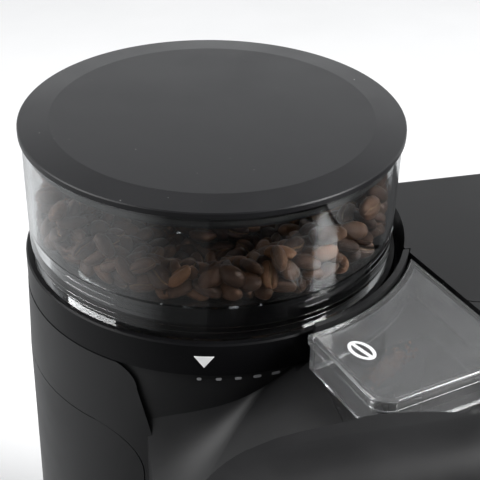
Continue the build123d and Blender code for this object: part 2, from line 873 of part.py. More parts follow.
# ---- burr carrier, burrs and feeder -------------------------------------------------------
with BuildPart() as burr_carrier:
    turned([
        (carrier_mouth, carrier_top),
        (carrier_radius, carrier_top),
        (carrier_radius, carrier_low),
        (burr_radius + fit_gap, carrier_low),
        (burr_radius + fit_gap, burr_top),
        (carrier_mouth, burr_top),
    ])
    for index in range(lug_count):
        with BuildSketch(outward_plane(lug_start + index * 360 / lug_count, carrier_radius - 3)):
            with Locations((0, lug_top - lug_thickness / 2)):
                Rectangle(lug_width, lug_thickness)
        extrude(amount=lug_reach - carrier_radius + 3)
write(burr_carrier, "burr_carrier")

burr_bore = cone_radius + burr_gap
with BuildPart() as ring_burr:
    turned([
        (burr_mouth, burr_top),
        (burr_radius, burr_top),
        (burr_radius, burr_low),
        (burr_bore, burr_low),
        (burr_bore, burr_low + 5),
    ])
    with BuildSketch(level(burr_low - 1)) as grooves:
        with PolarLocations(burr_bore + 0.4, ring_teeth):
            Rectangle(2.6, 1.5, rotation=28)
    extrude(grooves.sketch, amount=burr_height + 2, mode=Mode.SUBTRACT)
write(ring_burr, "ring_burr")

cone_low = burr_low - 0.5
cone_top = cone_low + cone_height
cone_lean = math.degrees(math.atan2(cone_radius - cone_top_radius, cone_height))
cone_middle = (cone_radius + cone_top_radius) / 2
with BuildPart() as cone_burr:
    turned([
        (shaft_radius + fit_gap, cone_low),
        (cone_radius, cone_low),
        (cone_radius - 0.3, cone_low + 3),
        (cone_top_radius, cone_top),
        (shaft_radius + fit_gap, cone_top),
    ])
    for index in range(cone_teeth):
        upright = outward_plane(index * 360 / cone_teeth, cone_middle, cone_low + cone_height / 2)
        with BuildSketch(upright.rotated((-cone_lean, 0, 0)).rotated((0, 0, 24)).offset(-cone_groove)):
            Rectangle(1.7, 3 * cone_height)
        extrude(amount=4 * cone_groove, mode=Mode.SUBTRACT)
write(cone_burr, "cone_burr")

feeder_top = cone_top + feeder_height
with BuildPart() as bean_feeder:
    disc(feeder_hub, cone_top, feeder_top)
    for index in range(2):
        with BuildSketch(outward_plane(index * 180, 0, cone_top + 5)):
            Rectangle(11, 2.2, rotation=28)
        extrude(amount=feeder_reach)
    disc(shaft_radius + fit_gap, cone_top - 2, feeder_top + 2, mode=Mode.SUBTRACT)
write(bean_feeder, "bean_feeder")

with BuildPart() as burr_nut:
    with BuildSketch(level(feeder_top)):
        RegularPolygon(nut_radius, 6)
        Circle(shaft_radius + fit_gap, mode=Mode.SUBTRACT)
    extrude(amount=nut_height)
write(burr_nut, "burr_nut")

with BuildPart() as sweeper:
    disc(hub_radius, chamber_inside + sweeper_gap, cone_low)
    disc(sweeper_radius, chamber_inside + sweeper_gap, chamber_inside + sweeper_gap + 2)
    for index in range(6):
        with BuildSketch(outward_plane(index * 60, 0, chamber_inside + sweeper_gap + 4)):
            Rectangle(2.0, 7.0)
        extrude(amount=sweeper_radius - 1)
    disc(shaft_radius + fit_gap, 0, height, mode=Mode.SUBTRACT)
write(sweeper, "sweeper")

# ---- grinding chamber with its spout ------------------------------------------------------
chamber_outer = chamber_radius + chamber_wall
chamber_flange = upstand_inner - 0.5
chamber_top = rim_level + 0.8
spout_end = chute_back + chute_wall + 1.5
spout_sides = (spout_offset - spout_width / 2, spout_offset + spout_width / 2)


def spout_form():
    """The spout's outside, from the chamber's wall to just inside the chute."""
    with BuildPart() as form:
        slab((spout_sides[0] - spout_wall, spout_sides[1] + spout_wall), (-spout_end, -chamber_radius / 2),
             (spout_low, spout_top + spout_wall), plane=cover_level)
        disc(chamber_radius + 0.5, 0, height, mode=Mode.SUBTRACT)
    return form.part


spout_outer = spout_form()
with BuildPart() as grinding_chamber:
    turned([
        (bearing_radius, chamber_low),
        (chamber_outer, chamber_low),
        (chamber_outer, flange_low),
        (chamber_flange, flange_low),
        (chamber_flange, flange_top),
        (chamber_outer, flange_top),
        (chamber_outer, chamber_top),
        (chamber_radius, chamber_top),
        (chamber_radius, chamber_inside),
        (bearing_radius, chamber_inside),
    ])
    add(spout_outer)
    slab(spout_sides, (-spout_end - 1, -chamber_radius / 2), (chamber_inside, spout_top), plane=cover_level,
         mode=Mode.SUBTRACT)
    for index in range(lug_count):
        with BuildSketch(outward_plane(lug_start + index * 360 / lug_count, chamber_radius - 4)):
            with Locations((0, chamber_top)):
                Rectangle(lug_width + 2 * slot_gap, 2 * (chamber_top - lug_top + lug_thickness + 1.5))
        extrude(amount=chamber_wall + 6, mode=Mode.SUBTRACT)
    for at in chamber_screw_places:
        disc(chamber_screw_shank + fit_gap, 0, height, at, mode=Mode.SUBTRACT)
write(grinding_chamber, "grinding_chamber")

with BuildPart() as chamber_screws:
    for at in chamber_screw_places:
        screw(at, flange_top, flange_thickness + ledge_thickness - 0.5, chamber_screw_head,
              chamber_screw_shank, upward=False)
write(chamber_screws, "chamber_screws")

with BuildPart() as upper_bearing:
    ring(bearing_radius - fit_gap, shaft_radius + bearing_gap, chamber_low - 1, chamber_inside)
write(upper_bearing, "upper_bearing")


# ---- gears --------------------------------------------------------------------------------
def involute(angle):
    """How far an involute has turned where its pressure angle is this."""
    return math.tan(angle) - angle


def gear(module, teeth, turn, low, high, at):
    """A spur gear with involute flanks; one tooth's middle points along turn."""
    pressure = math.radians(20)
    pitch = module * teeth / 2
    base = pitch * math.cos(pressure)
    tip = pitch + 0.8 * module
    root = pitch - 1.1 * module
    half = (math.pi * module / 2 - tooth_thinning) / 2 / pitch
    first = max(base, root)
    radii = [first + (tip - first) * step / 4 for step in range(5)]
    if root < base:
        radii.insert(0, root)
    flank = [(r, half + involute(pressure) - involute(math.acos(min(1.0, base / r)))) for r in radii]
    points = []
    for tooth in range(teeth):
        middle = math.radians(turn) + 2 * math.pi * tooth / teeth
        outline = [(r, middle - a) for r, a in flank] + [(r, middle + a) for r, a in reversed(flank)]
        points += [(at[0] + r * math.cos(a), at[1] + r * math.sin(a)) for r, a in outline]
    with BuildSketch(level(low)) as teeth_outline:
        with BuildLine():
            Polyline(*points, close=True)
        make_face()
    extrude(teeth_outline.sketch, amount=high - low)


def gap_turn(direction, teeth):
    """The turn that puts a gap between teeth, instead of a tooth, along a direction."""
    return direction + 180 / teeth


with BuildPart() as main_gear:
    gear(coarse_module, main_gear_teeth, idler_angle, coarse_low, coarse_top, (0, 0))
    disc(hub_radius, plate_top + 3.0, coarse_low + 1)
    for index in range(5):
        disc(6.0, coarse_low - 1, coarse_top + 1, polar(19.0, index * 72), mode=Mode.SUBTRACT)
    disc(shaft_radius + fit_gap, 0, height, mode=Mode.SUBTRACT)
write(main_gear, "main_gear")

with BuildPart() as idler_gear:
    gear(fine_module, idler_wheel_teeth, motor_angle, fine_low, fine_top, idler_at)
    gear(coarse_module, idler_pinion_teeth, gap_turn(idler_angle + 180, idler_pinion_teeth),
         fine_top, coarse_top + 1, idler_at)
    disc(6.0, plate_top + running_gap, fine_low + 1, idler_at)
    disc(idler_pin_radius + bearing_gap, 0, height, idler_at, mode=Mode.SUBTRACT)
write(idler_gear, "idler_gear")

with BuildPart() as idler_pin:
    disc(idler_pin_radius, gearbox_low + 1, gearbox_top - 2, idler_at)
write(idler_pin, "idler_pin")

with BuildPart() as motor_pinion:
    gear(fine_module, motor_pinion_teeth, gap_turn(motor_angle + 180, motor_pinion_teeth),
         fine_low, fine_top + 0.5, motor_at)
    disc(motor_shaft_radius + fit_gap, 0, height, motor_at, mode=Mode.SUBTRACT)
write(motor_pinion, "motor_pinion")

with BuildPart() as burr_shaft:
    disc(shaft_radius, gearbox_low + 0.5, feeder_top + nut_height + 1.5)
write(burr_shaft, "burr_shaft")

with BuildPart() as lower_bush:
    ring(bush_radius, shaft_radius + bearing_gap, gearbox_low, plate_top + 2.5)
write(lower_bush, "lower_bush")

# ---- gearbox ------------------------------------------------------------------------------
ear_places = [polar(gearbox_radius - 1.5, 30 + index * 90) for index in range(4)]
with BuildPart() as gearbox_base:
    disc(gearbox_radius, gearbox_low, plate_top)
    for at in ear_places:
        disc(ear_radius, gearbox_low, plate_top, at)
        disc(gearbox_screw_radius + fit_gap, 0, height, at, mode=Mode.SUBTRACT)
    disc(bush_radius + fit_gap, 0, height, mode=Mode.SUBTRACT)
    disc(motor_shaft_radius + 3, 0, height, motor_at, mode=Mode.SUBTRACT)
    disc(idler_pin_radius + fit_gap, gearbox_low + 1, height, idler_at, mode=Mode.SUBTRACT)
write(gearbox_base, "gearbox_base")

with BuildPart() as gearbox_cover:
    disc(gearbox_radius, plate_top, gearbox_top)
    disc(gearbox_radius - gearbox_wall, plate_top - 1, gearbox_top - gearbox_plate, mode=Mode.SUBTRACT)
    for at in ear_places:
        disc(ear_radius, plate_top, plate_top + ear_height, at)
        disc(gearbox_screw_radius + fit_gap, 0, plate_top + ear_height - 1, at, mode=Mode.SUBTRACT)
    disc(shaft_radius + 1, 0, height, mode=Mode.SUBTRACT)
    disc(idler_pin_radius + fit_gap, 0, gearbox_top - 2, idler_at, mode=Mode.SUBTRACT)
write(gearbox_cover, "gearbox_cover")

with BuildPart() as gearbox_screws:
    for at in ear_places:
        screw(at, gearbox_low, gearbox_plate + ear_height - 2, 2.8, gearbox_screw_radius)
write(gearbox_screws, "gearbox_screws")

with BuildPart() as standoffs:
    for index in range(3):
        disc(standoff_radius, gearbox_top, chamber_low, polar(standoff_place, 20 + index * 120))
write(standoffs, "standoffs")

# ---- motor --------------------------------------------------------------------------------
can_inner = motor_radius - motor_can_wall
with BuildPart() as motor_can:
    disc(motor_radius, motor_low, motor_top, motor_at)
    disc(can_inner, motor_low - 1, motor_top - 3, motor_at, mode=Mode.SUBTRACT)
    disc(motor_shaft_radius + bearing_gap, 0, height, motor_at, mode=Mode.SUBTRACT)
write(motor_can, "motor_can")

with BuildPart() as motor_end_cap:
    ring(can_inner - fit_gap, motor_shaft_radius + bearing_gap, motor_low + 0.5, motor_low + 3.5, motor_at)
    ring(6.0, motor_shaft_radius + bearing_gap, motor_low - 3, motor_low + 1, motor_at)
write(motor_end_cap, "motor_end_cap")

with BuildPart() as motor_magnets:
    ring(can_inner - fit_gap, armature_radius + 1.0, motor_low + 14, motor_top - 12, motor_at)
    slab((motor_at[0] - 8, motor_at[0] + 8), (motor_at[1] - 40, motor_at[1] + 40), (0, height),
         mode=Mode.SUBTRACT)
write(motor_magnets, "motor_magnets")

with BuildPart() as motor_rotor:
    disc(motor_shaft_radius, motor_low - 2, fine_top + 1, motor_at)
    disc(armature_radius, motor_low + 16, motor_top - 14, motor_at)
    disc(8.0, motor_low + 6, motor_low + 14, motor_at)
    for index in range(9):
        slot = polar(armature_radius, index * 40)
        disc(1.1, motor_low + 15, motor_top - 13, (motor_at[0] + slot[0], motor_at[1] + slot[1]),
             mode=Mode.SUBTRACT)
write(motor_rotor, "motor_rotor")

with BuildPart() as motor_isolator:
    ring(20.0, 12.0, motor_top, gearbox_low, motor_at)
write(motor_isolator, "motor_isolator")

# ---- chute and its clear cover ------------------------------------------------------------
chute_top = pocket_level - shell_wall


def chute_form(inset, extra):
    """The chute's outline, full size at the top and drawn in towards the drawer."""
    with BuildPart() as form:
        with BuildSketch(cover_level(chute_bend)):
            with Locations(((chute_left + chute_right) / 2, -(chute_front + chute_back) / 2)):
                Rectangle(chute_right - chute_left - 2 * inset, chute_front - chute_back - 2 * inset)
        with BuildSketch(cover_level(chute_low - extra)):
            with Locations(chute_foot):
                Rectangle(chute_foot_width - 2 * inset, chute_foot_depth - 2 * inset)
        loft()
        slab((chute_left + inset, chute_right - inset), (-chute_front + inset, -chute_back - inset),
             (chute_bend, chute_top + extra), plane=cover_level)
    return form.part


chute_outer = chute_form(0, 0)
chute_hollow = chute_form(chute_wall, 1)
with BuildPart() as grounds_chute:
    add(chute_outer)
    add(chute_hollow, mode=Mode.SUBTRACT)
    slab(
        (spout_sides[0] - spout_wall - spout_clear, spout_sides[1] + spout_wall + spout_clear),
        (-chute_back - 2 * chute_wall, -chute_back + 2),
        (spout_low - spout_clear, spout_top + spout_wall + spout_clear),
        plane=cover_level,
        mode=Mode.SUBTRACT,
    )
write(grounds_chute, "grounds_chute")


def cover_form(inset, low, high):
    """The cover's plan between two heights, drawn in by inset all round."""
    left, right, front = cover_left + inset, cover_right - inset, -cover_front + inset
    corner = cover_corner - inset
    with BuildPart() as form:
        with BuildSketch(cover_level(low)):
            with BuildLine():
                Line((left, -cover_back_left), (left, front + corner))
                RadiusArc((left, front + corner), (left + corner, front), -corner)
                Line((left + corner, front), (right - corner, front))
                RadiusArc((right - corner, front), (right, front + corner), -corner)
                Line((right, front + corner), (right, -cover_back_right))
                Line((right, -cover_back_right), (left, -cover_back_left))
            make_face()
        extrude(amount=high - low)
        disc(cover_back_radius + inset, 0, height, mode=Mode.SUBTRACT)
    return form.part


cover_low = pocket_level + bearing_gap
cover_top = pocket_level + cover_height
cover_skirt = cover_form(cover_lip_proud, cover_low, cover_top - 1)
cover_plate = cover_form(0, cover_top - cover_lip_height, cover_top)
cover_hollow = cover_form(cover_lip_proud + cover_wall, cover_low - 1, cover_top - cover_wall)
with BuildPart() as chute_cover:
    add(cover_plate)
    fillet(chute_cover.faces().sort_by(Axis.Z)[-1].edges(), cover_edge)
    add(cover_skirt)
    add(cover_hollow, mode=Mode.SUBTRACT)
write(chute_cover, "chute_cover")

with BuildPart() as cover_mark:
    bean = Plane((tower_x + mark_at[0], tower_y + mark_at[1], cover_top), x_dir=(*polar(1, mark_turn), 0))
    with BuildSketch(bean):
        Ellipse(mark_length / 2, mark_length / 3)
        Ellipse(mark_length / 2 - mark_line, mark_length / 3 - mark_line, mode=Mode.SUBTRACT)
        Rectangle(mark_length - mark_line, mark_line)
    extrude(amount=print_thickness)
write(cover_mark, "cover_mark")

# ---- drawer and its bay -------------------------------------------------------------------
front_inside = -block_front + shell_wall
with BuildPart() as drawer_bay:
    slab((opening_left - bay_wall, opening_right + bay_wall), (front_inside, bay_back), (bay_low, bay_top))
    slab((opening_left, opening_right), (-block_front, bay_back - bay_wall), (opening_low, opening_top),
         mode=Mode.SUBTRACT)
    for x in (opening_left + 8, opening_right - 8):
        slab((x - 2, x + 2), (front_inside + 6, bay_back - 6), (base_level, bay_low))
    with BuildSketch(cover_level(opening_top - 1)) as mouth:
        with Locations(chute_foot):
            Rectangle(chute_foot_width + 2 * chute_foot_room, chute_foot_depth + 2 * chute_foot_room)
    extrude(mouth.sketch, amount=bay_wall + 2, mode=Mode.SUBTRACT)
write(drawer_bay, "drawer_bay")

bin_front_back = -block_front + bin_front_thickness
bin_right = bin_left + bin_width
with BuildPart() as grounds_bin:
    slab((bin_left, bin_right), (bin_front_back, -bin_back), (bin_low, bin_top), corner=bin_corner)
    slab((bin_left + bin_wall, bin_right - bin_wall), (bin_front_back + bin_wall, -bin_back - bin_wall),
         (bin_low + bin_wall, height), corner=bin_corner - bin_wall, mode=Mode.SUBTRACT)
write(grounds_bin, "grounds_bin")

bin_middle = (opening_left + opening_right) / 2
with BuildPart() as bin_front:
    slab((opening_left + joint_gap, opening_right - joint_gap), (-block_front, bin_front_back),
         (opening_low + joint_gap, opening_top - joint_gap))
    fillet(bin_front.edges().filter_by(Axis.Y), 1.5)
    with BuildSketch(front_plane(-block_front + grip_depth)) as grip:
        with Locations((bin_middle, opening_top - grip_drop - grip_height / 2)):
            RectangleRounded(grip_width, grip_height, 4.0)
    extrude(grip.sketch, amount=grip_depth + 1, mode=Mode.SUBTRACT)
write(bin_front, "bin_front")

# ---- controls -----------------------------------------------------------------------------
with BuildPart() as control_board:
    slab((control_x - 10, control_x + 17), (board_y, board_y + board_thickness),
         (button_height - 24, knob_height + 14))
    for index in range(4):
        slab((control_x - 8 + index * 5, control_x - 5 + index * 5),
             (board_y + board_thickness, board_y + board_thickness + 3),
             (button_height + 14, button_height + 26))
write(control_board, "control_board")

with BuildPart() as dose_sensor:
    slab((control_x - 8, control_x + 8), (board_y - board_gap + 1.5, board_y),
         (knob_height - 8, knob_height + 8))
    front_disc(pot_shaft_radius + bearing_gap, control_x, knob_height, board_y, board_gap,
               mode=Mode.SUBTRACT)
write(dose_sensor, "dose_sensor")

knob_back = -block_front - joint_gap
with BuildPart() as dose_knob:
    front_disc(knob_radius, control_x, knob_height, knob_back, 3.0)
    front_disc(knob_radius - 2, control_x, knob_height, knob_back, knob_proud - joint_gap)
    fillet(dose_knob.faces().sort_by(Axis.Y)[0].edges(), 1.2)
    front_disc(knob_hub_radius, control_x, knob_height, front_inside, shell_wall + joint_gap + 1)
    front_disc(pot_shaft_radius, control_x, knob_height, board_y - 1, board_gap)
    with BuildSketch(front_plane(knob_back - 3.0)) as knurl:
        with Locations((control_x, knob_height)):
            with PolarLocations(knob_radius - 1.8, 24):
                Circle(0.8)
    extrude(knurl.sketch, amount=knob_proud, mode=Mode.SUBTRACT)
    slab((control_x - 0.7, control_x + 0.7), (-front_reach - 1, -front_reach + 0.8),
         (knob_height + 2, knob_height + knob_radius - 2.6), mode=Mode.SUBTRACT)
write(dose_knob, "dose_knob")

button_back = front_inside + running_gap + 1.5
with BuildPart() as start_button:
    front_disc(button_radius, control_x, button_height, button_back,
               button_back + block_front + button_proud)
    fillet(start_button.faces().sort_by(Axis.Y)[0].edges(), 1.0)
    front_disc(button_radius + 1.5, control_x, button_height, button_back, 1.5)
write(start_button, "start_button")

switch_front = button_back + button_travel + 0.2
with BuildPart() as start_switch:
    slab((control_x - 6, control_x + 6), (switch_front + 0.6, board_y),
         (button_height - 6, button_height + 6))
    front_disc(2.0, control_x, button_height, switch_front + 1, 1.0)
write(start_switch, "start_switch")

# ---- base, feet, screws and cord inlet ----------------------------------------------------
with BuildPart() as cord_gland:
    back = block_back + gland_proud
    front_disc(gland_radius, gland_x, gland_height, back, gland_proud + shell_wall + 3)
    front_disc(gland_flange_radius, gland_x, gland_height, block_back + 3, 3.0)
    front_disc(gland_bore, gland_x, gland_height, back + 1, 3 * gland_proud, mode=Mode.SUBTRACT)
write(cord_gland, "cord_gland")

with BuildPart() as base_plate:
    disc(tower_base_radius - base_inset, foot_height, base_level)
    slab((-block_left + base_inset, block_right - base_inset),
         (-block_front + base_inset, block_back - base_inset), (foot_height, base_level),
         corner=block_front_left_corner)
    for at in base_posts:
        disc(base_screw_radius + running_gap, 0, height, at, mode=Mode.SUBTRACT)
    for at in foot_places:
        disc(foot_stem_radius + fit_gap, 0, height, at, mode=Mode.SUBTRACT)
    for index in range(vent_count):
        vent_front = motor_at[1] + (index - vent_count / 2) * vent_step
        slab((motor_at[0] - vent_length / 2, motor_at[0] + vent_length / 2),
             (vent_front, vent_front + vent_step / 2), (0, height), mode=Mode.SUBTRACT)
write(base_plate, "base_plate")

with BuildPart() as base_screws:
    for at in base_posts:
        screw(at, foot_height, base_thickness + 10, 3.0, base_screw_radius)
write(base_screws, "base_screws")

with BuildPart() as feet:
    for at in foot_places:
        disc(foot_radius, 0, foot_height, at)
        disc(foot_stem_radius, foot_height, base_level + 1.5, at)
write(feet, "feet")
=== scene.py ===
import math

import bpy
import numpy as np
from mathutils import Matrix, Vector


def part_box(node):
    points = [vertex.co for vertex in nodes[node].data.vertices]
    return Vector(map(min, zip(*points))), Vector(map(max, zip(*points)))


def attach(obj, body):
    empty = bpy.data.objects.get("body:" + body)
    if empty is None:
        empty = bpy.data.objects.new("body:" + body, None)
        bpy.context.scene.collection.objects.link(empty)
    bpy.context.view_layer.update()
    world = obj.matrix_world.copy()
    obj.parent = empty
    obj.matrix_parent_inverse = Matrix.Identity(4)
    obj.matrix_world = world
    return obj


# The looks of a burr coffee grinder: satin black plastic, a clear hopper full of roasted
# beans and a clear cover over the grounds chute. Lengths are in metres, in the frame's axes.

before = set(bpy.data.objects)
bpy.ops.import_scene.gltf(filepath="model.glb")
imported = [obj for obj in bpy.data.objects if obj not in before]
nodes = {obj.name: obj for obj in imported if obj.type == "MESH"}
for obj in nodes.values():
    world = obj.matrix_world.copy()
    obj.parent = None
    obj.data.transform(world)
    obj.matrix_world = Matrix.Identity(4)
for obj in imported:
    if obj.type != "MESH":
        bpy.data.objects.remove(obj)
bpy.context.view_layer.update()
MM = 0.001

# ---- places taken from the frame ----------------------------------------------------------
lid_low, lid_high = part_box("lid")
tower = Vector(((lid_low.x + lid_high.x) / 2, (lid_low.y + lid_high.y) / 2, 0))
top = lid_high.z


# ---- materials ----------------------------------------------------------------------------
# The output that carries the number, by kind of node.
FACTOR = {"ShaderNodeTexNoise": 0, "ShaderNodeAttribute": "Fac"}


class Look:
    """A node material under construction: a Principled shader and what feeds it."""

    def __init__(self, name, colour, roughness, **sockets):
        self.material = bpy.data.materials.new(name)
        self.material.use_nodes = True
        self.tree = self.material.node_tree
        self.shader = self.tree.nodes["Principled BSDF"]
        self.base = None
        self.set("Base Color", (*colour, 1))
        self.set("Roughness", roughness)
        for socket, value in sockets.items():
            self.set(socket.replace("_", " "), value)

    def set(self, socket, value):
        self.shader.inputs[socket].default_value = value

    def add(self, kind, **inputs):
        node = self.tree.nodes.new(kind)
        for socket, value in inputs.items():
            node.inputs[socket].default_value = value
        return node

    def link(self, source, output, target, socket):
        self.tree.links.new(source.outputs[output], target.inputs[socket])

    def place(self):
        """Coordinates in the object's own metres, so that a grain has a real size."""
        return self.add("ShaderNodeTexCoord")

    def noise(self, scale, detail=3.0, roughness=0.55, stretch=None):
        texture = self.add("ShaderNodeTexNoise", Scale=scale, Detail=detail, Roughness=roughness)
        source, output = self.place(), "Object"
        if stretch:
            mapping = self.add("ShaderNodeMapping", Scale=stretch)
            self.link(source, output, mapping, "Vector")
            source, output = mapping, "Vector"
        self.link(source, output, texture, "Vector")
        return texture

    def vary(self, socket, texture, low, high, start=0.3, end=0.7):
        """A number on the shader that follows a texture between two values."""
        spread = self.add("ShaderNodeMapRange")
        for name, value in (("From Min", start), ("From Max", end), ("To Min", low), ("To Max", high)):
            spread.inputs[name].default_value = value
        self.link(texture, texture.outputs[0].name, spread, "Value")
        self.link(spread, "Result", self.shader, socket)

    def tint(self, texture, low, high, start=0.35, end=0.65):
        """A colour on the shader that follows a texture between two colours."""
        ramp = self.add("ShaderNodeValToRGB")
        ramp.color_ramp.elements[0].position = start
        ramp.color_ramp.elements[0].color = (*low, 1)
        ramp.color_ramp.elements[1].position = end
        ramp.color_ramp.elements[1].color = (*high, 1)
        self.link(texture, texture.outputs[0].name, ramp, "Fac")
        self.link(ramp, "Color", self.shader, "Base Color")
        self.base = ramp

    def cover(self, mask, start, end, under, colour):
        """Lays a second colour over the shader's first where a mask rises between two values."""
        spread = self.add("ShaderNodeMapRange")
        spread.inputs["From Min"].default_value = start
        spread.inputs["From Max"].default_value = end
        self.link(mask, FACTOR[mask.bl_idname], spread, "Value")
        mix = self.add("ShaderNodeMix")
        mix.data_type = "RGBA"
        mix.inputs[7].default_value = (*colour, 1)
        self.tree.links.new(spread.outputs["Result"], mix.inputs[0])
        self.tree.links.new(under.outputs["Color"], mix.inputs[6])
        self.tree.links.new(mix.outputs[2], self.shader.inputs["Base Color"])

    def attribute(self, name):
        """A value stored on the mesh's points."""
        node = self.add("ShaderNodeAttribute")
        node.attribute_name = name
        return node

    def bump(self, texture, strength, depth):
        """Relief of a real depth, added on top of any relief already there."""
        relief = self.add("ShaderNodeBump", Strength=strength, Distance=depth)
        self.link(texture, texture.outputs[0].name, relief, "Height")
        normal = self.shader.inputs["Normal"]
        if normal.links:
            self.tree.links.new(normal.links[0].from_socket, relief.inputs["Normal"])
        self.link(relief, "Normal", self.shader, "Normal")

    def on(self, *names):
        """Puts the material on CAD nodes."""
        for name in names:
            slots = nodes[name].material_slots
            if not slots:
                nodes[name].data.materials.append(self.material)
            for slot in slots:
                slot.material = self.material
        return self


def moulded(name, colour, roughness, grain=0.00035, depth=0.00004, spread=0.08,
            lift=1.35, gloss=0.3):
    """Injection-moulded plastic: a fine spark-eroded grain and slightly uneven gloss."""
    look = Look(name, colour, roughness, Specular_IOR_Level=gloss)
    look.bump(look.noise(1 / grain, detail=2.0), 0.5, depth)
    cloud = look.noise(38.0, detail=4.0)
    look.vary("Roughness", cloud, roughness - spread / 2, roughness + spread / 2)
    look.tint(cloud, colour, tuple(c * lift for c in colour))
    return look


def metal(name, colour, roughness, stretch=(1, 1, 60)):
    """Machined steel: fine marks that run round the piece."""
    look = Look(name, colour, roughness, Metallic=1.0)
    marks = look.noise(260.0, detail=4.0, stretch=stretch)
    look.bump(marks, 0.3, 0.00003)
    look.vary("Roughness", marks, roughness - 0.08, roughness + 0.08)
    return look


moulded("shell_black", (0.0085, 0.0085, 0.009), 0.44, gloss=0.28).on(
    "front_shell", "rear_shell", "deck_panel")
moulded("ring_black", (0.0035, 0.0035, 0.004), 0.38, gloss=0.12).on("adjust_ring")

lid_look = moulded("lid_grey_black", (0.0085, 0.0085, 0.0095), 0.34,
                   grain=0.0004, depth=0.00005, lift=1.15, gloss=0.22)
dust = lid_look.noise(620.0, detail=1.0)
lid_look.cover(dust, 0.80, 0.84, lid_look.base, (0.35, 0.35, 0.34))
lid_look.on("lid")

clear = Look("clear_plastic", (0.97, 0.985, 0.99), 0.03, Transmission_Weight=1.0, IOR=1.49)
haze = clear.noise(26.0, detail=5.0)
clear.vary("Roughness", haze, 0.015, 0.09, 0.45, 0.75)
clear.bump(clear.noise(420.0, detail=2.0), 0.12, 0.00002)
clear.on("hopper")

cover_look = Look("clear_cover", (0.93, 0.94, 0.95), 0.05, Transmission_Weight=0.94, IOR=1.55)
smear = cover_look.noise(45.0, detail=6.0)
cover_look.vary("Roughness", smear, 0.03, 0.22, 0.4, 0.75)
cover_look.bump(cover_look.noise(900.0, detail=2.0), 0.15, 0.00002)
cover_look.on("chute_cover")

moulded("white_print", (0.86, 0.86, 0.86), 0.5, lift=1.05).on("pointer_mark")
moulded("grey_print", (0.28, 0.28, 0.29), 0.5, lift=1.05).on("scale_marks")
moulded("pale_print", (0.75, 0.76, 0.76), 0.5, lift=1.05).on("cover_mark")
moulded("seal_rubber", (0.03, 0.03, 0.03), 0.75, spread=0.12).on(
    "lid_seal", "motor_isolator", "feet", "cord_gland")
moulded("inner_black", (0.018, 0.018, 0.019), 0.5).on(
    "burr_carrier", "grinding_chamber", "grounds_chute", "drawer_bay", "sweeper", "bean_feeder",
    "gearbox_base", "gearbox_cover", "standoffs", "dose_sensor", "start_switch", "base_plate")
moulded("gear_white", (0.62, 0.6, 0.53), 0.4, lift=1.1).on("main_gear", "idler_gear")
moulded("board_green", (0.02, 0.11, 0.04), 0.35).on("control_board")
moulded("front_black", (0.016, 0.016, 0.017), 0.4).on("bin_front", "dose_knob")
moulded("button_grey", (0.16, 0.16, 0.17), 0.45).on("start_button")
metal("burr_steel", (0.5, 0.51, 0.53), 0.3).on("ring_burr", "cone_burr")
metal("shaft_steel", (0.56, 0.57, 0.59), 0.25).on("burr_shaft", "idler_pin", "burr_nut")
metal("screw_steel", (0.42, 0.42, 0.44), 0.35).on("chamber_screws", "gearbox_screws", "base_screws")
metal("bush_brass", (0.6, 0.42, 0.18), 0.35).on("upper_bearing", "lower_bush", "motor_pinion")
metal("motor_steel", (0.4, 0.41, 0.42), 0.4).on("motor_can", "motor_end_cap", "motor_rotor")
moulded("magnet_dark", (0.03, 0.03, 0.032), 0.55).on("motor_magnets")
smoke = Look("bin_smoke", (0.12, 0.12, 0.12), 0.12, Transmission_Weight=0.8, IOR=1.49)
smoke.vary("Roughness", smoke.noise(40.0), 0.08, 0.2)
smoke.on("grounds_bin")

# ---- beans --------------------------------------------------------------------------------
BEAN_LONG, BEAN_WIDE, BEAN_THICK = 11.2 * MM, 7.6 * MM, 5.4 * MM
BEAN_SPACE = 330 * MM ** 3
BEAN_LARGEST = 1.08
SEEN_DEPTH = 15.0 * MM
FLOOR_EDGE = top - 41.0 * MM
WALL_INSIDE = 71.2 * MM
THROAT_RADIUS = 21.0 * MM
THROAT_TOP = FLOOR_EDGE - 14.5 * MM
THROAT_FILL = 244.0 * MM
BEAN_CEILING = 279.0 * MM
PUSH_RADIUS = 3.65 * MM
PUSH_STEPS = 110
SETTLE_STEP = 0.06 * MM
WALL_GAP = 0.3 * MM
FLOOR_GAP = 0.2 * MM

# How high the beans stand at the wall, by angle about the tower, and in the middle, where
# the grinder has drawn them down.
PILE = ((-180, -13), (-165, -13), (-150, -16), (-136, -24), (-121, -28), (-110, -29),
        (-101, -28), (-90, -24), (-75, -19), (-60, -16), (-43, -12), (0, -13), (90, -15),
        (150, -13), (180, -13))
PILE_MIDDLE = -52.0


def pile_height(x, y):
    """The beans' surface above the table at a plan position measured from the tower."""
    angle = np.degrees(np.arctan2(y, x))
    share = np.clip(np.hypot(x, y) / WALL_INSIDE, 0, 1) ** 2
    at_wall = np.interp(angle, [a for a, h in PILE], [h for a, h in PILE])
    return top + (PILE_MIDDLE + (at_wall - PILE_MIDDLE) * share) * MM


def cone_height(r):
    """The hopper's sloping floor."""
    slope = (FLOOR_EDGE - THROAT_TOP) / (WALL_INSIDE - THROAT_RADIUS)
    return np.where(r < THROAT_RADIUS, THROAT_FILL, THROAT_TOP + (r - THROAT_RADIUS) * slope)


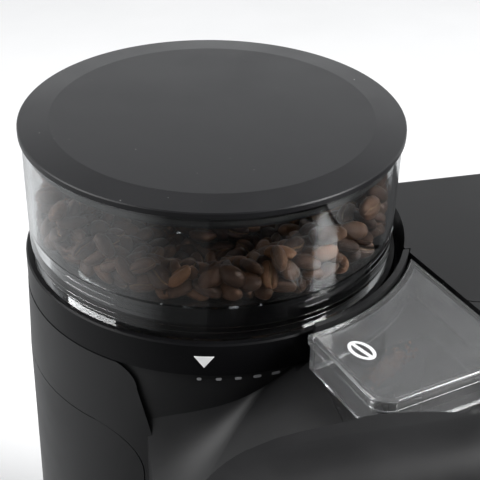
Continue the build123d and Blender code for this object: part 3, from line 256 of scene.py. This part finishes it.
def bean_shape(along=13):
    """One bean: points, faces and how far each point lies in the crease on its flat side."""
    dome = [(math.cos(a), 0.62 * math.sin(a)) for a in (math.pi * k / 8 for k in range(9))]
    across = (-0.82, -0.55, -0.3, -0.13, 0.0, 0.13, 0.3, 0.55, 0.82)
    flat = [(y, -0.38 * (1 - abs(y) ** 2.2)) for y in across]
    ring = dome + flat
    around = len(ring)
    points, crease = [], []
    for i in range(along + 1):
        u = math.pi * i / along
        x = math.cos(u) * BEAN_LONG / 2
        girth = max(0.0, math.sin(u)) ** 0.8
        wander = 0.11 * math.sin(x / BEAN_LONG * 6)
        for y, z in ring:
            groove = math.exp(-(((y - wander) / 0.15) ** 2)) if z < 0 else 0.0
            points.append((x, girth * y * BEAN_WIDE / 2, girth * (z + 0.32 * groove) * BEAN_THICK))
            crease.append(groove)
    faces = []
    for i in range(along):
        for j in range(around):
            k = (j + 1) % around
            low, high = i * around, (i + 1) * around
            faces.append((low + j, low + k, high + k, high + j))
    return np.array(points), faces, np.array(crease)


def packed_beans(seed=7):
    """Centres and turns of beans that fill the hopper up to the pile's surface."""
    draw = np.random.default_rng(seed)
    grid = np.linspace(-WALL_INSIDE, WALL_INSIDE, 120)
    plan_x, plan_y = np.meshgrid(grid, grid)
    plan_r = np.hypot(plan_x, plan_y)
    depth = np.clip(pile_height(plan_x, plan_y) - cone_height(plan_r), 0, None) * (plan_r < WALL_INSIDE)
    count = int(depth.sum() * (grid[1] - grid[0]) ** 2 / BEAN_SPACE)
    angle = draw.uniform(0, 2 * math.pi, count)
    radius = WALL_INSIDE * np.sqrt(draw.uniform(0, 1, count))
    x, y = radius * np.cos(angle), radius * np.sin(angle)
    low = cone_height(radius)
    z = low + draw.uniform(0, 1, count) * (pile_height(x, y) - low)
    centres = np.stack([x, y, z], 1)
    # Each bean lies with its long axis near the horizontal and turned at random.
    turns = []
    for a in angle:
        heading = draw.uniform(0, 2 * math.pi)
        tilt = draw.normal(0, 0.35)
        roll = draw.uniform(0, 2 * math.pi)
        lean = Matrix.Rotation(heading, 3, "Z") @ Matrix.Rotation(tilt, 3, "Y")
        turns.append(np.array(lean @ Matrix.Rotation(roll, 3, "X")))
    turns = np.array(turns)
    half = np.array([BEAN_LONG / 2, BEAN_WIDE / 2, 0.62 * BEAN_THICK]) * BEAN_LARGEST
    for step in range(PUSH_STEPS):
        near = centres[:, None, :] - centres[None, :, :]
        near[:, :, 2] *= 1.12
        gap = np.sqrt((near ** 2).sum(2)) + np.eye(count)
        push = np.clip(2 * PUSH_RADIUS - gap, 0, None) * (1 - np.eye(count))
        centres += 0.35 * (near / gap[:, :, None] * push[:, :, None]).sum(1)
        centres[:, 2] -= SETTLE_STEP
        r = np.hypot(centres[:, 0], centres[:, 1])
        outward = np.stack([centres[:, 0] / r, centres[:, 1] / r, np.zeros(count)], 1)
        reach = np.sqrt((np.einsum("nij,ni->nj", turns, outward) * half[None, :]) ** 2 @ np.ones(3))
        most = WALL_INSIDE - reach - WALL_GAP
        held = np.minimum(r, most)
        centres[:, :2] *= (held / r)[:, None]
        rise = np.sqrt((turns[:, 2, :] * half[None, :]) ** 2 @ np.ones(3))
        floor = cone_height(held) + rise + FLOOR_GAP
        ceiling = np.minimum(pile_height(centres[:, 0], centres[:, 1]), BEAN_CEILING - rise)
        centres[:, 2] = np.clip(centres[:, 2], floor, np.maximum(ceiling, floor))
    # Only beans near the wall or the pile's surface can ever be seen.
    shown = (np.hypot(centres[:, 0], centres[:, 1]) > WALL_INSIDE - SEEN_DEPTH) | (
        centres[:, 2] > pile_height(centres[:, 0], centres[:, 1]) - SEEN_DEPTH)
    return centres[shown], turns[shown]


def make_beans():
    """All the beans as one mesh, with each point's tone and crease stored on it."""
    shape, faces, crease = bean_shape()
    centres, turns = packed_beans()
    draw = np.random.default_rng(11)
    sizes = draw.uniform(0.9, BEAN_LARGEST, len(centres))
    tones = draw.beta(2.0, 2.6, len(centres))
    points = np.concatenate([
        (shape * size) @ turn.T + centre for centre, turn, size in zip(centres, turns, sizes)
    ]) + np.array(tower)
    count = len(shape)
    quads = np.concatenate([np.array(faces) + count * k for k in range(len(centres))])
    mesh = bpy.data.meshes.new("coffee_beans")
    mesh.from_pydata(points.tolist(), [], quads.tolist())
    mesh.polygons.foreach_set("use_smooth", [True] * len(mesh.polygons))
    for name, values in (("tone", np.repeat(tones, count)), ("crease", np.tile(crease, len(centres)))):
        mesh.attributes.new(name, "FLOAT", "POINT").data.foreach_set("value", values.astype(np.float32))
    beans = bpy.data.objects.new("coffee_beans", mesh)
    bpy.context.scene.collection.objects.link(beans)
    return beans


bean_look = Look("roasted_bean", (0.1, 0.045, 0.02), 0.4, Specular_IOR_Level=0.35)
tone = bean_look.attribute("tone")
shades = bean_look.add("ShaderNodeValToRGB")
tones = shades.color_ramp.elements
tones[0].color = (0.026, 0.011, 0.006, 1)
tones[1].color = (0.27, 0.115, 0.042, 1)
tones.new(0.45).color = (0.080, 0.035, 0.016, 1)
tones.new(0.8).color = (0.155, 0.067, 0.027, 1)
bean_look.link(tone, "Fac", shades, "Fac")
bean_look.cover(bean_look.attribute("crease"), 0.5, 0.95, shades, (0.30, 0.19, 0.10))
skin = bean_look.noise(520.0, detail=5.0, roughness=0.65)
bean_look.bump(skin, 0.8, 0.0005)
bean_look.vary("Roughness", skin, 0.36, 0.6)

beans = make_beans()
beans.data.materials.append(bean_look.material)
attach(beans, "hopper")

# ---- grounds that cling inside the chute's mouth ------------------------------------------
COVER_TURN = math.radians(14.0)
CHUTE_WALL_FACE = -86.6 * MM
CLING_ALONG = 31.0 * MM
CLING_LEVEL = top - 74.5 * MM
GRAIN_COUNT = 420


def make_grounds(seed=3):
    """Small irregular grains scattered on the chute's back wall, thickest in the middle."""
    draw = np.random.default_rng(seed)
    turn = Matrix.Rotation(COVER_TURN, 3, "Z")
    corners = [Vector(c) for c in ((1, 0, 0), (-1, 0, 0), (0, 1, 0), (0, -1, 0), (0, 0, 1), (0, 0, -1))]
    sides = [(0, 2, 4), (2, 1, 4), (1, 3, 4), (3, 0, 4), (2, 0, 5), (1, 2, 5), (3, 1, 5), (0, 3, 5)]
    points, faces = [], []
    for grain in range(GRAIN_COUNT):
        size = draw.uniform(0.35, 0.75) * MM
        along, rise = draw.normal(0, 4.2) * MM, draw.normal(0, 2.6) * MM
        place = turn @ Vector((CLING_ALONG + along, CHUTE_WALL_FACE - size * 0.6, 0))
        place += Vector((tower.x, tower.y, CLING_LEVEL + rise + along * 0.25))
        tumble = Matrix.Rotation(draw.uniform(0, 6.28), 3, "X")
        spin = tumble @ Matrix.Rotation(draw.uniform(0, 6.28), 3, "Z")
        start = len(points)
        points += [place + spin @ (corner * size * draw.uniform(0.7, 1.2)) for corner in corners]
        faces += [tuple(start + k for k in side) for side in sides]
    mesh = bpy.data.meshes.new("coffee_grounds")
    mesh.from_pydata([tuple(p) for p in points], [], faces)
    grounds = bpy.data.objects.new("coffee_grounds", mesh)
    bpy.context.scene.collection.objects.link(grounds)
    return grounds


grounds_look = Look("ground_coffee", (0.12, 0.045, 0.018), 0.8)
flecks = grounds_look.noise(900.0, detail=2.0)
grounds_look.tint(flecks, (0.06, 0.022, 0.009), (0.26, 0.11, 0.05))
grounds_look.bump(flecks, 0.5, 0.0002)
grounds = make_grounds()
grounds.data.materials.append(grounds_look.material)
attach(grounds, "housing")

# ---- floor, light and camera --------------------------------------------------------------
HALF_FLOOR = 4.0
floor_mesh = bpy.data.meshes.new("floor")
floor_corners = [(x * HALF_FLOOR, y * HALF_FLOOR, 0) for x, y in ((-1, -1), (1, -1), (1, 1), (-1, 1))]
floor_mesh.from_pydata(floor_corners, [], [(0, 1, 2, 3)])
floor = bpy.data.objects.new("floor", floor_mesh)
bpy.context.scene.collection.objects.link(floor)
floor_look = Look("floor_white", (0.86, 0.86, 0.87), 0.6)
floor_look.tint(floor_look.noise(6.0), (0.83, 0.83, 0.835), (0.86, 0.86, 0.865))
floor_mesh.materials.append(floor_look.material)
floor.visible_glossy = False
floor.visible_transmission = False


def area_light(name, place, aim, width, height, power):
    """A soft box at a place, facing a point."""
    data = bpy.data.lights.new(name, "AREA")
    data.shape = "RECTANGLE"
    data.size, data.size_y = width, height
    data.energy = power
    lamp = bpy.data.objects.new(name, data)
    bpy.context.scene.collection.objects.link(lamp)
    lamp.location = place
    lamp.rotation_euler = (Vector(aim) - Vector(place)).to_track_quat("-Z", "Y").to_euler()


middle = Vector((tower.x, tower.y, 0.22))
area_light("left_softbox", (-1.2, 0.25, 1.3), middle, 1.0, 1.0, 23)
area_light("side_window", (1.13, -0.65, 1.02), middle, 0.40, 1.0, 42)

# The studio is bright behind the object and dims overhead and towards the camera. Below the
# horizon it is seen only in reflections and through clear plastic, which pass through the
# floor: dark in front, pale to the left and behind.
world = bpy.data.worlds.new("studio")
bpy.context.scene.world = world
world.use_nodes = True
studio = world.node_tree
direction = studio.nodes.new("ShaderNodeTexCoord")
along = studio.nodes.new("ShaderNodeSeparateXYZ")
studio.links.new(direction.outputs["Generated"], along.inputs["Vector"])


def ramp(socket, start, end, low, high):
    """A smooth change of a number between two values of another."""
    node = studio.nodes.new("ShaderNodeMapRange")
    node.interpolation_type = "SMOOTHSTEP"
    for name, value in (("From Min", start), ("From Max", end), ("To Min", low), ("To Max", high)):
        node.inputs[name].default_value = value
    studio.links.new(socket, node.inputs["Value"])
    return node.outputs["Result"]


def combine(operation, first, second):
    """A maths node on two sockets."""
    node = studio.nodes.new("ShaderNodeMath")
    node.operation = operation
    studio.links.new(first, node.inputs[0])
    studio.links.new(second, node.inputs[1])
    return node.outputs["Value"]


sky = combine("MULTIPLY", ramp(along.outputs["Y"], -0.6, 0.6, 0.16, 1.0),
              ramp(along.outputs["Z"], 0.38, 0.56, 1.45, 0.34))
behind = ramp(along.outputs["Y"], 0.0, 0.5, 0.12, 0.75)
leftward = ramp(along.outputs["X"], -0.50, -0.84, 0.12, 0.85)
below = combine("MAXIMUM", behind, leftward)
horizon = studio.nodes.new("ShaderNodeMix")
studio.links.new(ramp(along.outputs["Z"], -0.03, 0.03, 0.0, 1.0), horizon.inputs[0])
studio.links.new(below, horizon.inputs[2])
studio.links.new(sky, horizon.inputs[3])
studio.nodes["Background"].inputs["Color"].default_value = (0.97, 0.985, 1.0, 1)
studio.links.new(horizon.outputs[0], studio.nodes["Background"].inputs["Strength"])
bpy.context.scene.view_settings.view_transform = "Standard"

camera_data = bpy.data.cameras.new("camera")
camera_data.lens = 90.0
camera_data.sensor_width = 36.0
camera = bpy.data.objects.new("camera", camera_data)
bpy.context.scene.collection.objects.link(camera)
right = Vector((0.96836, -0.24882, 0.01929))
up = Vector((0.11591, 0.51690, 0.84817))
back = -Vector((0.22101, 0.81909, -0.52938))
eye = tower + Vector((-0.09805, -0.40838, top + 0.20418))
camera.matrix_world = Matrix((
    (right.x, up.x, back.x, eye.x),
    (right.y, up.y, back.y, eye.y),
    (right.z, up.z, back.z, eye.z),
    (0, 0, 0, 1),
))
bpy.context.scene.camera = camera
